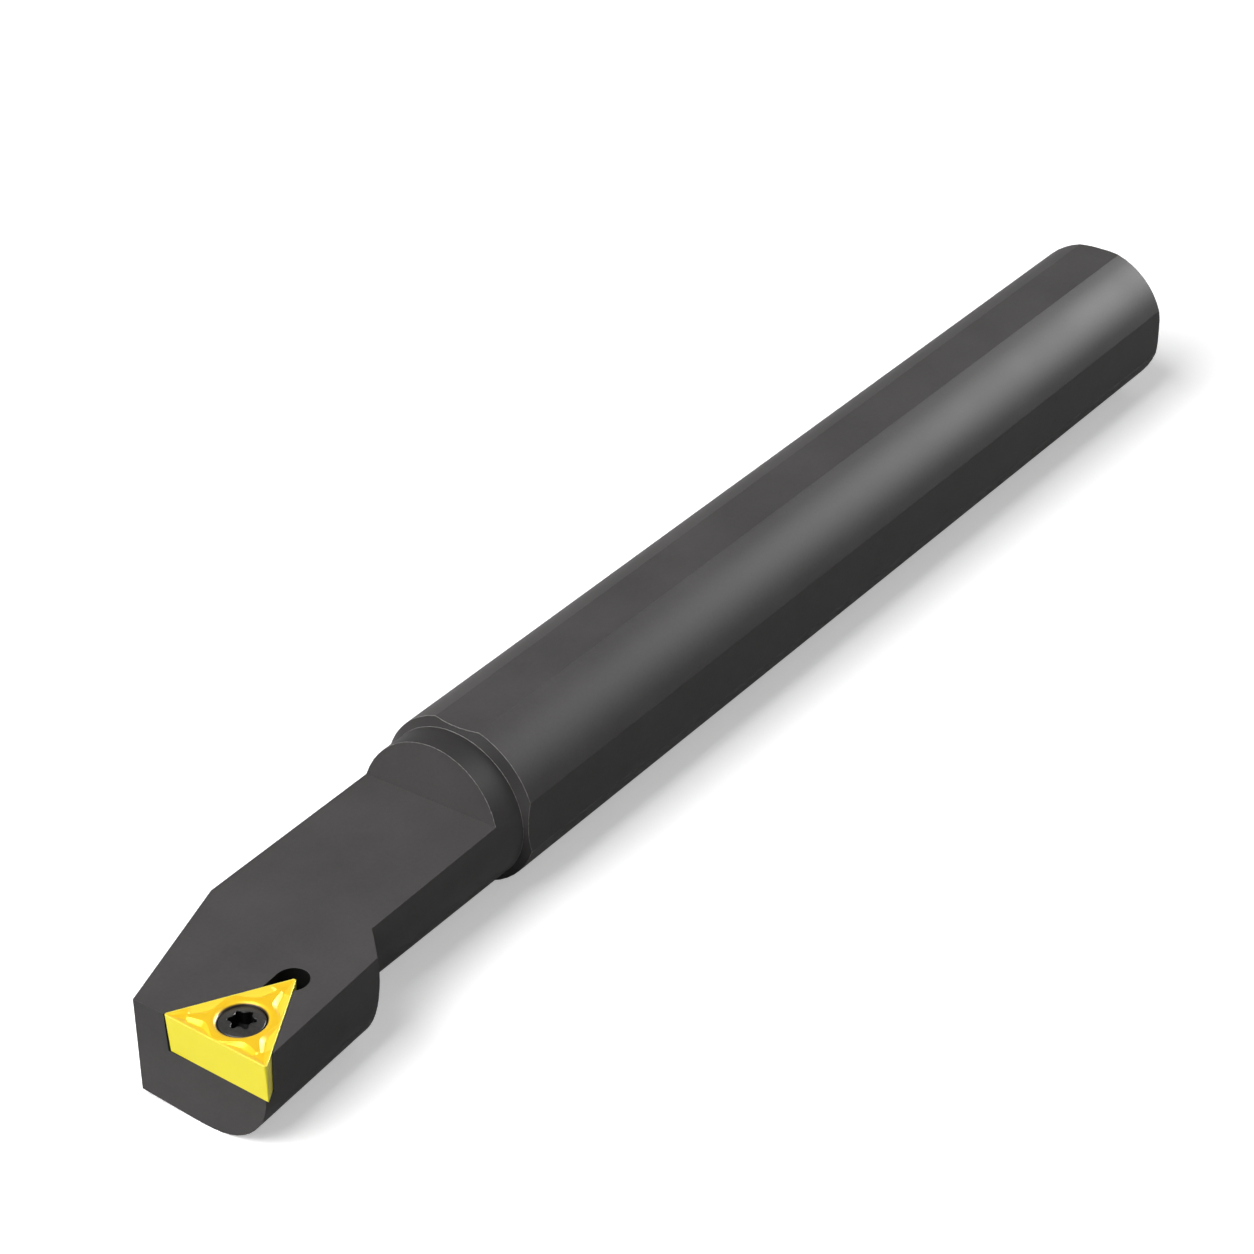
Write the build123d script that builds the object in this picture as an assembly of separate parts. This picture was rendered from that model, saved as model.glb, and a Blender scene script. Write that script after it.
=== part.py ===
from build123d import *

import os
from math import cos, radians, sin, sqrt, tan

# Internal turning tool holder: a one-piece steel bar with a screw-on triangular insert.
# Millimetres.  The origin is the centre of the shank's back end face.  +X runs along the shank to
# the cutting head, +Y points to the side on which the cutting tip stands out, and +Z is up, so the
# insert's cutting face looks up.

# ---- Shank -------------------------------------------------------------------------------------
shank_diameter = 16.0
shank_length = 111.5        # back end to the outer edge of the collar chamfer
top_flat_height = 7.65      # shank axis to the clamping flat on top
side_flat_height = 7.6      # shank axis to the clamping flat on the tip's side
end_chamfer = 0.3

# ---- Neck --------------------------------------------------------------------------------------
neck_diameter = 14.6
face_height = 2.2           # shank axis to the head's top face, at the collar
face_slope = 1.0            # degrees that the top face falls towards the front
face_shoulder = 3.4         # collar edge to the top of the wall where the face starts
face_wall_lean = 7.0        # degrees that this wall leans forward at its foot
face_root_radius = 0.2      # where that wall meets the top face

# ---- Head --------------------------------------------------------------------------------------
overall_length = 150.0      # back end to the insert's sharp corner
front_setback = 0.5         # sharp corner back to the head's front face
head_length = 17.5          # front face to the foot of the head's 45 degree shoulder
head_side = 10.65           # shank axis to the head's side face, at its front end
head_side_angle = 3.3       # degrees that the side face closes in towards the neck
head_side_lean = 1.5        # degrees that the side face leans in towards the underside
head_corner_radius = 5.8    # between the side face and the underside
keel_offset = 3.5           # shank axis to the underside's lowest line, at the front end
keel_slope = 5.0            # degrees that the underside rises away from that line
back_cut_length = 14.8      # front face to the start of the flat that clears the bore's far wall
back_cut_front = 2.8        # shank axis to that flat, at the front face

# ---- Insert ------------------------------------------------------------------------------------
inscribed_circle = 6.35
insert_thickness = 3.7
insert_relief = 2.5         # degrees that the flanks draw in towards the seat
nose_radius = 0.2
tip_offset = 11.4           # shank axis to the insert's sharp corner
edge_lead = 2.0             # degrees by which the sharp corner leads along the front cutting edge
insert_proud = 0.1          # insert's top above the head's top face
land_width = 0.16           # flat rim along the cutting edges
groove_length = 3.75        # each side has two chip grooves, one each way from its middle
groove_width = 1.1
groove_depth = 0.27
groove_wall_angle = 55.0    # degrees from upright
groove_gap = 0.7            # between the two grooves of a side
nose_bowl_inset = 0.6       # sharp corner to the pointed end of the bowl behind it
nose_bowl_length = 1.15
nose_bowl_width = 0.5
nose_bowl_depth = 0.08
nose_bowl_wall_angle = 40.0
countersink_diameter = 4.3
countersink_angle = 60.0
countersink_rim_radius = 0.5  # the countersink rolls over into the top

# ---- Pocket ------------------------------------------------------------------------------------
pocket_gap = 0.06           # between the insert's flanks and the pocket's walls
relief_radius = 1.45        # bored out round the insert's inner corner
relief_inset = 0.3          # inner corner to the centre of the bore
relief_shift = 0.25         # and its offset towards the long wall
relief_tail = 2.7           # the bore runs out along the long wall this far
relief_tail_radius = 0.2
relief_depth = 0.5          # below the pocket's floor

# ---- Clamp screw -------------------------------------------------------------------------------
screw_diameter = 2.5
screw_reach = 4.5           # thread below the pocket's floor
screw_head_diameter = 3.9
screw_head_rim = 0.1        # upright band round the head
screw_dome = 0.35           # rise of the head above that band
socket_across_lobes = 2.4
socket_across_flutes = 1.75
socket_lobe_radius = 0.19
socket_depth = 1.3
socket_point = 0.35         # depth of the drill point under the socket
thread_clearance = 0.01
cone_clearance = 0.01
shank_clearance = 0.15      # between the thread and the insert's hole
hole_chamfer = 0.2

# ---- Sizes that follow from those ---------------------------------------------------------------
shank_radius = shank_diameter / 2
neck_radius = neck_diameter / 2
front = overall_length - front_setback
head_start = front - head_length
back_cut_start = front - back_cut_length
edge_length = inscribed_circle * sqrt(3)
corner_distance = inscribed_circle           # centre of the triangle to its sharp corners
side_distance = inscribed_circle / 2         # and to its sides
countersink_half_angle = countersink_angle / 2
insert_hole = screw_diameter + 2 * shank_clearance
clear = 30.0                                 # cutters reach this far past what they cut

# The head's top face, with its own X towards the front.
top_face = Plane(
    origin=(shank_length, 0, face_height),
    x_dir=(cos(radians(face_slope)), 0, -sin(radians(face_slope))),
    z_dir=(sin(radians(face_slope)), 0, cos(radians(face_slope))),
)


def insert_seat():
    """Plane of the pocket's floor, centred on the insert, with X towards the inner corner."""
    lead = radians(edge_lead)
    tip_x = (overall_length - shank_length) / cos(radians(face_slope))
    centre_x = tip_x - side_distance * cos(lead) - edge_length / 2 * sin(lead)
    centre_y = tip_offset + side_distance * sin(lead) - edge_length / 2 * cos(lead)
    inward = top_face.x_dir * -cos(lead) + top_face.y_dir * sin(lead)
    floor_height = insert_proud - insert_thickness
    centre = top_face.from_local_coords((centre_x, centre_y, floor_height))
    return Plane(origin=centre, x_dir=inward, z_dir=top_face.z_dir)


seat = insert_seat()


def triangle(side):
    """Sketch of an equilateral triangle with a corner on +X, centred on the origin."""
    reach = side / sqrt(3)
    corners = [(reach * cos(radians(a)), reach * sin(radians(a))) for a in (0, 120, 240)]
    return make_face(Polyline(*corners, close=True))


def make_shank():
    """The clamped length, with its two flats and the chamfered collar edge."""
    turned = make_face(Polyline(
        (0, 0),
        (0, shank_radius - end_chamfer),
        (end_chamfer, shank_radius),
        (shank_length, shank_radius),
        (shank_length + shank_radius - neck_radius, neck_radius),
        (shank_length + shank_radius - neck_radius, 0),
        close=True,
    ))
    shank = revolve(Plane.XY * turned, Axis.X)
    cutter = Box(2 * shank_length + clear, clear, clear, align=(Align.CENTER, Align.CENTER, Align.MIN))
    shank -= Pos(0, 0, top_flat_height) * cutter
    shank -= Pos(0, side_flat_height, 0) * Rot(-90, 0, 0) * cutter
    return shank


def make_head_block():
    """The offset part of the head, as far as the 45 degree shoulder behind it."""
    lean = tan(radians(head_side_lean))
    rise = tan(radians(keel_slope))
    low = (head_side - lean * shank_radius, -shank_radius)
    section = make_face(Polyline(
        (head_side + lean * shank_radius, shank_radius),
        low,
        (keel_offset, -shank_radius),
        (-clear, -shank_radius + rise * (keel_offset + clear)),
        (-clear, shank_radius),
        close=True,
    ))
    corner = section.vertices().sort_by_distance(low)[0]
    section = fillet(corner, head_corner_radius)
    side = radians(head_side_angle)
    length = front - head_start + clear
    block = extrude(Plane(origin=(front, 0, 0), x_dir=(0, 1, 0), z_dir=(1, 0, 0)) * section,
                    amount=length, dir=(-cos(side), -sin(side), 0))

    # Away from the tip the block keeps within the neck's width and the shank's round.
    span = length + clear
    tip_side = Pos(front, clear / 2, 0) * Box(span, clear, clear)
    under = Pos(front, -neck_radius / 2, -clear / 2) * Box(span, neck_radius, clear)
    round_bar = Pos(front, 0, 0) * Rot(0, 90, 0) * Cylinder(shank_radius, span)
    block &= tip_side + (under & round_bar)

    shoulder = make_face(Polyline(
        (head_start, 0),
        (head_start, neck_radius),
        (head_start + clear, neck_radius + clear),
        (head_start + clear, 0),
        close=True,
    ))
    return block & revolve(Plane.XY * shoulder, Axis.X)


def cut_top_face(bar):
    """Takes the upper part of the neck and head off, down to the sloping top face."""
    foot = face_shoulder + (neck_radius - face_height) * tan(radians(face_wall_lean))
    wall_top = foot - (neck_radius + clear - face_height) * tan(radians(face_wall_lean))
    profile = make_face(Polyline(
        (foot, 0),
        (wall_top, neck_radius + clear - face_height),
        (overall_length, neck_radius + clear - face_height),
        (overall_length, 0),
        close=True,
    ))
    root = profile.vertices().sort_by_distance((foot, 0))[0]
    profile = fillet(root, face_root_radius)
    side_view = Plane(origin=top_face.origin, x_dir=top_face.x_dir, z_dir=-top_face.y_dir)
    return bar - extrude(side_view * profile, amount=clear, both=True)


def cut_head_outline(bar):
    """Squares the front off and takes the slanting flat off the side away from the tip."""
    bar -= Pos(front, 0, 0) * Box(clear, 2 * clear, 2 * clear, align=(Align.MIN, Align.CENTER, Align.CENTER))
    start = Vector(back_cut_start, -neck_radius)
    finish = Vector(front, -back_cut_front)
    along = (finish - start).normalized() * clear
    flat = Polyline(start - along, finish + along, finish + along + Vector(0, -clear),
                    start - along + Vector(0, -clear), close=True)
    return bar - extrude(make_face(flat), amount=clear, both=True)


def cut_pocket(bar):
    """Cuts the insert's seat, the relief round its inner corner and the tapped hole."""
    inner = corner_distance + 2 * pocket_gap - insert_thickness * tan(radians(insert_relief)) * 2
    reach = edge_length + clear / 2
    walls = Polyline((inner, 0), (inner - reach * cos(radians(30)), reach / 2),
                     (inner - reach * cos(radians(30)), -reach / 2), close=True)
    pocket = extrude(make_face(walls), amount=2 * insert_thickness, taper=-insert_relief)

    bore = Pos(corner_distance - relief_inset, relief_shift) * Circle(relief_radius)
    tail = Pos(corner_distance - relief_tail * cos(radians(30)), relief_tail / 2) * Circle(relief_tail_radius)
    outline = make_hull(bore.edges() + tail.edges())
    relief = Pos(0, 0, -relief_depth) * extrude(outline, amount=2 * insert_thickness)

    tapping = screw_diameter / 2 + thread_clearance
    hole = Cylinder(tapping, 2 * clear)
    mouth = Cone(tapping, tapping + 2 * hole_chamfer, 2 * hole_chamfer)
    return bar - seat * (pocket + relief) - seat * (hole + mouth)


def make_bar():
    """The whole steel bar: shank, neck and head are one piece."""
    neck_start = shank_length
    neck = Pos(neck_start, 0, 0) * Rot(0, 90, 0) * Cylinder(
        neck_radius, front - neck_start, align=(Align.CENTER, Align.CENTER, Align.MIN))
    bar = make_shank() + neck + make_head_block()
    bar = cut_top_face(bar)
    bar = cut_head_outline(bar)
    return cut_pocket(bar)


def drill_insert(insert):
    """Bores the screw's hole through the insert, countersinks it and rounds its rim."""
    hole_radius = insert_hole / 2
    rim_radius = countersink_diameter / 2
    cone_depth = (rim_radius - hole_radius) / tan(radians(countersink_half_angle))
    bore = make_face(Polyline(
        (0, -clear),
        (hole_radius, -clear),
        (hole_radius, insert_thickness - cone_depth),
        (rim_radius, insert_thickness),
        (rim_radius, insert_thickness + clear),
        (0, insert_thickness + clear),
        close=True,
    ))
    insert -= revolve(Plane.XZ * bore, Axis.Z)
    rims = insert.edges().filter_by(GeomType.CIRCLE).sort_by_distance((0, 0, insert_thickness))
    rim = [edge for edge in rims if abs(edge.radius - rim_radius) < countersink_rim_radius / 10]
    return fillet(rim, countersink_rim_radius)


def press_chip_breaker(insert):
    """Presses two chip grooves into each side and a pointed bowl behind each corner."""
    land_x = -side_distance + land_width
    near = groove_gap / 2
    far = near + groove_length
    groove = make_face(
        Line((land_x, near), (land_x, far))
        + ThreePointArc((land_x, far), (land_x + groove_width, (near + far) / 2), (land_x, near))
    )
    point = corner_distance - nose_bowl_inset
    bowl = make_face(Polyline(
        (point, 0),
        (point - nose_bowl_length, nose_bowl_width / 2),
        (point - nose_bowl_length, -nose_bowl_width / 2),
        close=True,
    ))
    top = Pos(0, 0, insert_thickness)
    groove = extrude(top * groove, amount=groove_depth, dir=(0, 0, -1), taper=groove_wall_angle)
    bowl = extrude(top * bowl, amount=nose_bowl_depth, dir=(0, 0, -1), taper=nose_bowl_wall_angle)
    for turn in (0, 120, 240):
        insert -= Rot(0, 0, turn) * groove
        insert -= Rot(0, 0, turn) * mirror(groove, Plane.XZ)
        insert -= Rot(0, 0, turn) * bowl
    return insert


def make_insert():
    """Triangular indexable insert with a pressed chip breaker."""
    top = triangle(edge_length)
    top = fillet(top.vertices(), nose_radius)
    insert = extrude(Pos(0, 0, insert_thickness) * top, amount=insert_thickness, dir=(0, 0, -1),
                     taper=insert_relief)
    return seat * press_chip_breaker(drill_insert(insert))


def socket_outline():
    """Six-lobed socket: outer lobes joined by tangent inner arcs."""
    lobe_centre = socket_across_lobes / 2 - socket_lobe_radius
    flute = socket_across_flutes / 2
    lean = cos(radians(30))
    flute_radius = ((lobe_centre**2 + flute**2 - 2 * lobe_centre * flute * lean - socket_lobe_radius**2)
                    / (2 * (socket_lobe_radius - flute + lobe_centre * lean)))

    def polar(radius, angle):
        return Vector(radius * cos(radians(angle)), radius * sin(radians(angle)))

    def joint(lobe_angle, flute_angle):
        lobe = polar(lobe_centre, lobe_angle)
        towards = polar(flute + flute_radius, flute_angle) - lobe
        return lobe + towards.normalized() * socket_lobe_radius

    arcs = []
    for lobe_angle in range(0, 360, 60):
        left, right = lobe_angle + 30, lobe_angle - 30
        arcs.append(ThreePointArc(joint(lobe_angle, right), polar(socket_across_lobes / 2, lobe_angle),
                                  joint(lobe_angle, left)))
        arcs.append(ThreePointArc(joint(lobe_angle, left), polar(flute, left), joint(lobe_angle + 60, left)))
    return make_face(arcs)


def make_screw():
    """Countersunk clamp screw with a domed head and a six-lobed socket, in the seat's frame."""
    slope = tan(radians(countersink_half_angle))
    thread_radius = screw_diameter / 2
    head_radius = screw_head_diameter / 2
    rim_low = insert_thickness - (countersink_diameter / 2 - cone_clearance - head_radius) / slope
    rim_high = rim_low + screw_head_rim
    cone_low = rim_low - (head_radius - thread_radius) / slope
    dome_radius = (head_radius**2 + screw_dome**2) / (2 * screw_dome)
    dome_centre = rim_high + screw_dome - dome_radius
    middle = head_radius / 2
    profile = make_face(
        Polyline(
            (0, rim_high + screw_dome),
            (0, -screw_reach),
            (thread_radius - hole_chamfer, -screw_reach),
            (thread_radius, -screw_reach + hole_chamfer),
            (thread_radius, cone_low),
            (head_radius, rim_low),
            (head_radius, rim_high),
        )
        + ThreePointArc((head_radius, rim_high), (middle, dome_centre + sqrt(dome_radius**2 - middle**2)),
                        (0, rim_high + screw_dome))
    )
    screw = revolve(Plane.XZ * profile, Axis.Z)
    floor = rim_high + screw_dome - socket_depth
    screw -= Pos(0, 0, floor) * extrude(socket_outline(), amount=2 * socket_depth)
    flute = socket_across_flutes / 2
    screw -= Pos(0, 0, floor - socket_point / 2) * Cone(0, flute, socket_point)
    return seat * screw


os.makedirs("parts", exist_ok=True)
export_step(make_bar(), "parts/bar.step")
export_step(make_insert(), "parts/insert.step")
export_step(make_screw(), "parts/clamp_screw.step")
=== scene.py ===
from math import atan2, cos, exp, hypot, pi, radians, sin, sqrt, tan

import bmesh
import bpy
from bpy.props import FloatProperty, FloatVectorProperty, PointerProperty, StringProperty
from mathutils import Matrix, Vector


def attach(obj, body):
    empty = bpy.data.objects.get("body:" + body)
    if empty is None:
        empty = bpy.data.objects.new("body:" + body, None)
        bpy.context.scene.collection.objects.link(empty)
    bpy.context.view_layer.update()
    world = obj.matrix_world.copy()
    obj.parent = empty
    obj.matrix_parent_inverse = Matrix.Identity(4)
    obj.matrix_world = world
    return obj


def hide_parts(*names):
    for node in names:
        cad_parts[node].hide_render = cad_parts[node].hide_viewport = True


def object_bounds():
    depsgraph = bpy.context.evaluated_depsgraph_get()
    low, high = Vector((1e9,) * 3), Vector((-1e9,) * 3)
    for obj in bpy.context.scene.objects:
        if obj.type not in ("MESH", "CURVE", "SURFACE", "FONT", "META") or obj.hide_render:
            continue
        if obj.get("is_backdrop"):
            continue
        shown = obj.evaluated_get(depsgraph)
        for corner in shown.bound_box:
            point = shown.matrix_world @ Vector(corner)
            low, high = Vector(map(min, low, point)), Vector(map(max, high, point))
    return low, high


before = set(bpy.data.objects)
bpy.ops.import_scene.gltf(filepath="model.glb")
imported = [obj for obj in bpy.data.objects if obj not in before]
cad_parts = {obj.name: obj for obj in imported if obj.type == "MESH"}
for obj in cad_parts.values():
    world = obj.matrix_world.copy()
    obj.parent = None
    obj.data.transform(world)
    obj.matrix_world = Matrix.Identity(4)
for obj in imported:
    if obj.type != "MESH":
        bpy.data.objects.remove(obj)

bl_info = {
    "name": "Internal Turning Tool Holder",
    "version": (1, 0, 0),
    "blender": (4, 5, 0),
    "location": "View3D > Sidebar > Tool Holder",
    "description": "Finishes a boring bar: its blackened steel, its coated insert and its clamp screw",
    "category": "Object",
}

MM = 0.001
BODY = "root"
# Name, heading and height in degrees, distance and width in metres, the level that each adds to a
# white face turned to it, and whether it shows only as a gleam.
LAMPS = (
    ("key", 75, 50, 0.8, 0.6, 1.27, False),
    ("fill", 60, 12, 1.5, 0.8, 0.11, False),
    ("side", 170, 40, 1.5, 1.0, 0.07, False),
    ("gleam", 254, 21, 0.6, 0.3, 2.7, True),
)
SEAM = 0.001 * MM       # points this near are one point
SETTLE = 0.05 * MM      # the CAD copy's smallest facets are taken up
FLAT = radians(0.5)     # faces that turn less than this are one face
SHARP = radians(35)     # turn at which the insert and the screw have a sharp edge
BAR_SHARP = radians(30)     # turn at which the bar's inner corners are sharp
PLAIN_FACES = 0         # the bar's material slots while its edges are being broken
BROKEN_EDGES = 1
FLOOR_SIZE = 6.0        # metres

# How finely the insert and the screw are divided: rows or columns of faces.
SIDE_COLUMNS = 90       # half of an insert's side
NOSE_COLUMNS = 6        # half of its nose
TOP_ROWS = 44           # its top, from the countersink to the land
ROLL_ROWS = 8           # the countersink's roll
PAINTED_SHADE_ROWS = (1, 4)       # those of the roll's rows over which the painted shade round the screw's head runs out
HONE_ROWS = 4           # the honed edge, and the screw's small rounds
LOBE_COLUMNS = 12       # half of a lobe of the socket
FLUTE_COLUMNS = 9       # half of a flute, and rows of the dome

# Sizes of the surface patterns, in millimetres. The oxide's crystals and the coating's pebbles are
# a few thousandths across, too fine to show, so they are drawn as coarse as they need to be seen.
CLOUD = 9.0             # patches left by the blackening bath
SPECKLE = 0.3           # oxide on the ground surface
MOTTLE = 0.9            # uneven coating
PEBBLE = 0.12           # crystals of the coating
SCALE_FILM = 0.25       # quenching film on the screw

# Form of the insert's chip breaker.
GROOVE_LOWEST = 0.56    # share of the groove's width, from the edge, at which it is deepest
GROOVE_FLOOR = 0.18     # roundness of its bottom: 0 is a plain V
GROOVE_RISE = 0.6       # power by which it deepens from the middle of a side
GROOVE_TAPER = 1.4      # power by which it narrows to the corner
SLOPE_HIGHLIGHT_FULL = 0.25     # share of a groove's full width at which its outer slope's painted highlight is full
SLOPE_HIGHLIGHT_FADE = (0.04, 0.08)     # shares of the width over which that ends, before and past the deepest
LAND_HIGHLIGHT = 0.6         # strength of the painted highlight on the land's edge, as a share of the hone's
BOWL_FLOOR = 0.35 * MM  # cutting edge to the bowl's floor, near the corner
BOWL_START = 0.7 * MM   # corner to where that distance starts to grow
BOWL_SPREAD = 0.305     # growth of that distance, along the bowl
BOWL_BLEND = (0.08 * MM, 0.12 * MM)     # the bowl runs out over this much past and before its end
RIDGE = (0.1 * MM, 0.2 * MM)            # the ridge's size along and across the corner's middle line

# Form of the screw.
DRILL_SHARE = 0.98      # drilled hole under the socket, as a share of its width across flutes
THREAD_DEPTH = 0.61     # thread's depth, as a share of its pitch
THREAD_FLANK = (0.12, 0.42)     # where the flank starts and ends, in shares of a turn
THREAD_POINT = 0.12     # how much the end draws in, as a share of the thread's diameter
COIL_STEPS = 10         # rows of faces in one turn's rise
THREAD_FADE = (8, 6)    # rows over which the thread deepens under the cone and runs out at the end
POINT_ROWS = 5          # rows over which the end draws in

# The round at the foot of the wall behind the head: its reach along and up, and a distance from the
# bar's middle that both its ends are past.
FOOT_REACH = (0.3 * MM, 0.25 * MM)
FOOT_SIDE = 6 * MM

# Where painted shade darkens the bar: in the pocket and round the collar. Faces are picked by how far
# they face a way, from -1 to 1.
PAINTED_SHADE_LOWEST = -0.5 * MM  # against the pocket's floor
PAINTED_SHADE_HIGHEST = 0.97      # on the pocket's walls, as a share of the insert's thickness
FLOOR_UPWARD = 0.5      # a floor faces up by more than this, and a ceiling down
WALL_OUTWARD = 0.3      # a pocket's wall faces away from the seat's middle by less than this
WALL_FORWARD = 0.9      # the wall behind the head, which gets no painted shade, faces forward by more than this
COLLAR_SHADE_UPWARD = (0.1, 0.75)       # where the collar's painted shade starts and where it is full

# The floor is lifted to plain white beyond the object's shadow, and mirrors show the surround as
# white up to a low rim.
SHADOW_REACH = 0.15     # metres from the middle of the floor
WHITE_REACH = 0.45
RIM_START = 0.1         # height of the rim, as the upward share of a ray's direction
RIM_END = 0.42


# ---- Sizes and colours that a user may change --------------------------------

def share(name, description, default):
    """A property between 0 and 1."""
    return FloatProperty(name=name, description=description, default=default, min=0.0, max=1.0,
                         subtype="FACTOR")


def size(name, description, millimetres):
    """A length property, given in millimetres and kept in metres."""
    return FloatProperty(name=name, description=description, default=millimetres * MM, min=0.0,
                         unit="LENGTH", subtype="DISTANCE", precision=5)


def angle(name, description, degrees):
    """An angle property, given in degrees and kept in radians."""
    return FloatProperty(name=name, description=description, default=radians(degrees),
                         unit="ROTATION", subtype="ANGLE")


def colour(name, description, hex_value):
    """A colour property, given as an sRGB hex value."""
    return StringProperty(name=name, description=description, default=hex_value)


class SeatSettings(bpy.types.PropertyGroup):
    """Where the insert sits in the head, as the bar is machined for it."""
    overall_length: size("Overall length", "Back end to the insert's sharp corner", 150.0)
    tip_offset: size("Tip offset", "Shank axis to the insert's sharp corner", 11.4)
    face_start: size("Face start", "Back end to the collar, where the face height is measured", 111.5)
    face_height: size("Face height", "Shank axis to the head's top face, at the collar", 2.2)
    face_slope: angle("Face slope", "Fall of the head's top face towards the front", 1.0)
    edge_lead: angle("Edge lead", "Turn of the insert's front cutting edge", 2.0)
    insert_proud: size("Insert proud", "Insert's top above the head's top face", 0.1)


class InsertSettings(bpy.types.PropertyGroup):
    """The pressed and coated insert."""
    inscribed_circle: size("Inscribed circle", "Diameter of the circle within the triangle", 6.35)
    thickness: size("Thickness", "Seat to the cutting edges", 3.7)
    relief: angle("Relief", "Angle that the flanks draw in towards the seat", 2.5)
    nose_radius: size("Nose radius", "Radius of each corner", 0.2)
    hone: size("Hone", "Rounding of the cutting edge", 0.035)
    land: size("Land", "Flat rim inside the cutting edge", 0.16)
    groove_start: size("Groove start", "Middle of a side to the start of each chip groove", 0.05)
    groove_widest: size("Groove widest", "Middle of a side to each groove's widest place", 2.25)
    groove_end: size("Groove end", "Middle of a side to where the groove would run out", 5.34)
    groove_width: size("Groove width", "Cutting edge to a groove's far side, at its widest", 1.25)
    groove_depth: size("Groove depth", "Depth of the groove where it is widest", 0.3)
    bowl_length: size("Bowl length", "Corner to the ridge behind the bowl", 2.0)
    bowl_depth: size("Bowl depth", "Floor of the bowl behind each corner", 0.13)
    ridge_height: size("Ridge height", "Rise of the small ridge behind the bowl", 0.06)
    hole: size("Hole", "Diameter of the screw hole", 2.8)
    countersink: size("Countersink", "Diameter of the countersink at the top", 4.3)
    countersink_angle: angle("Countersink angle", "Full angle of the countersink", 60.0)
    rim_radius: size("Rim radius", "Roll of the countersink over into the top", 0.5)
    # Painted highlight that pales the grooves' outer slopes.
    slope_highlight: share("Burnish", "How pale the grooves' outer slopes are", 0.45)
    pressed: colour("Pressed", "Coating on the pressed top", "#FFCC14")
    ground: colour("Ground", "Coating on the ground flanks", "#FFF01C")
    # Painted highlight along the hone of the cutting edge; the coating's random mottle also drifts
    # towards it.
    honed_highlight: colour("Honed", "Coating on the honed edge", "#FFEE50")
    # Painted shade in the countersink, round the screw's head.
    oily: colour("Oily", "Coating where oil gathers, round the screw's head", "#1E1304")


class ScrewSettings(bpy.types.PropertyGroup):
    """The clamp screw."""
    thread: size("Thread", "Outside diameter of the thread", 2.5)
    pitch: size("Pitch", "Rise of the thread in one turn", 0.45)
    reach: size("Reach", "Thread below the floor of the pocket", 4.5)
    head: size("Head", "Diameter of the head", 3.86)
    head_rim: size("Head rim", "Upright band round the head", 0.1)
    dome: size("Dome", "Rise of the head above that band", 0.33)
    clearance: size("Clearance", "Between the head's cone and the countersink", 0.01)
    across_lobes: size("Across lobes", "Socket, lobe to lobe", 2.4)
    across_flutes: size("Across flutes", "Socket, flute to flute", 1.75)
    lobe_radius: size("Lobe radius", "Radius of the socket's lobes", 0.24)
    socket_depth: size("Socket depth", "Top of the dome to the socket's floor", 1.3)
    socket_point: size("Socket point", "Drill point under the socket", 0.35)
    mouth_round: size("Mouth round", "Rounding at the mouth of the socket", 0.06)
    head_round: size("Head round", "Rounding round the head", 0.16)
    steel: colour("Steel", "Hardened and oiled steel", "#383736")
    # Painted shade in the socket.
    oily: colour("Oily", "Steel where oil gathers, in the socket", "#0A0A0A")


class BarSettings(bpy.types.PropertyGroup):
    """The one-piece bar."""
    edge_break: size("Edge break", "Width of the turned edges that are broken", 0.14)
    milled_break: share("Milled break", "Share of that width at the milled edges", 0.6)
    oxide: colour("Oxide", "Chemically blackened steel", "#4B4949")
    # Bare steel and painted highlight along the broken edges.
    worn_and_highlight: colour("Worn", "Steel that shows at the rubbed edges", "#D6D4D0")
    # Painted shade in the pocket and the relief hole, and more lightly on the collar.
    oily: colour("Oily", "Oxide where oil gathers, in the pocket", "#141414")
    # Strength of the bare steel and painted highlight at the collar's and the end's edges, and at the
    # others.
    turned_wear_and_highlight: share("Turned wear", "Rubbing of the collar's and the end's edges", 0.9)
    other_wear_and_highlight: share("Other wear", "Rubbing of the other edges", 0.12)
    collar_radius: size("Collar radius", "Radius under which the chamfer lies", 7.85)
    crease: angle("Crease", "Smallest turn between two faces that is an edge", 14.0)
    wall_foot: size("Wall foot", "Back end to the foot of the wall behind the head", 115.535)
    neck_radius: size("Neck radius", "Radius of the neck", 7.3)
    pocket_reach: size("Pocket reach", "Middle of the seat to the far side of the relief hole", 8.3)
    collar_start: size("Collar start", "Back end to where the collar's edges start", 110.5)
    collar_end: size("Collar end", "Back end to the last of the turned edges", 115.5)
    # Painted shade on top of the collar's chamfer and the start of the neck.
    collar_shade: share("Residue", "Oil that stays on the chamfer and on the neck", 0.45)


class StageSettings(bpy.types.PropertyGroup):
    """Floor, lamps and camera."""
    floor: colour("Floor", "Pale studio floor", "#F6F6F6")
    bounce: colour("Bounce", "Floor as it lights the bar from below", "#505050")
    glow: share("Glow", "How much lighter than lit the floor looks to the eye, near the bar", 0.4)
    ambient: share("Ambient", "Light from all round", 0.15)
    camera_azimuth: angle("Camera azimuth", "Heading of the camera round the bar", 126.05)
    camera_elevation: angle("Camera elevation", "Height of the camera above the horizon", 32.0)
    camera_roll: angle("Camera roll", "Turn of the camera about its line of sight", -0.78)
    camera_lens: FloatProperty(name="Lens", description="Focal length on a 36 mm sensor", default=98.54)
    camera_position: FloatVectorProperty(name="Camera position", description="Centre of the lens",
                                         default=(0.29853, 0.15404, 0.16825), unit="LENGTH",
                                         subtype="TRANSLATION")


# ---- Materials ---------------------------------------------------------------

def linear(hex_value):
    """sRGB hex value to a linear RGBA colour."""
    channels = [int(hex_value[i:i + 2], 16) / 255 for i in (1, 3, 5)]
    return [c / 12.92 if c <= 0.04045 else ((c + 0.055) / 1.055) ** 2.4 for c in channels] + [1.0]


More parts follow.
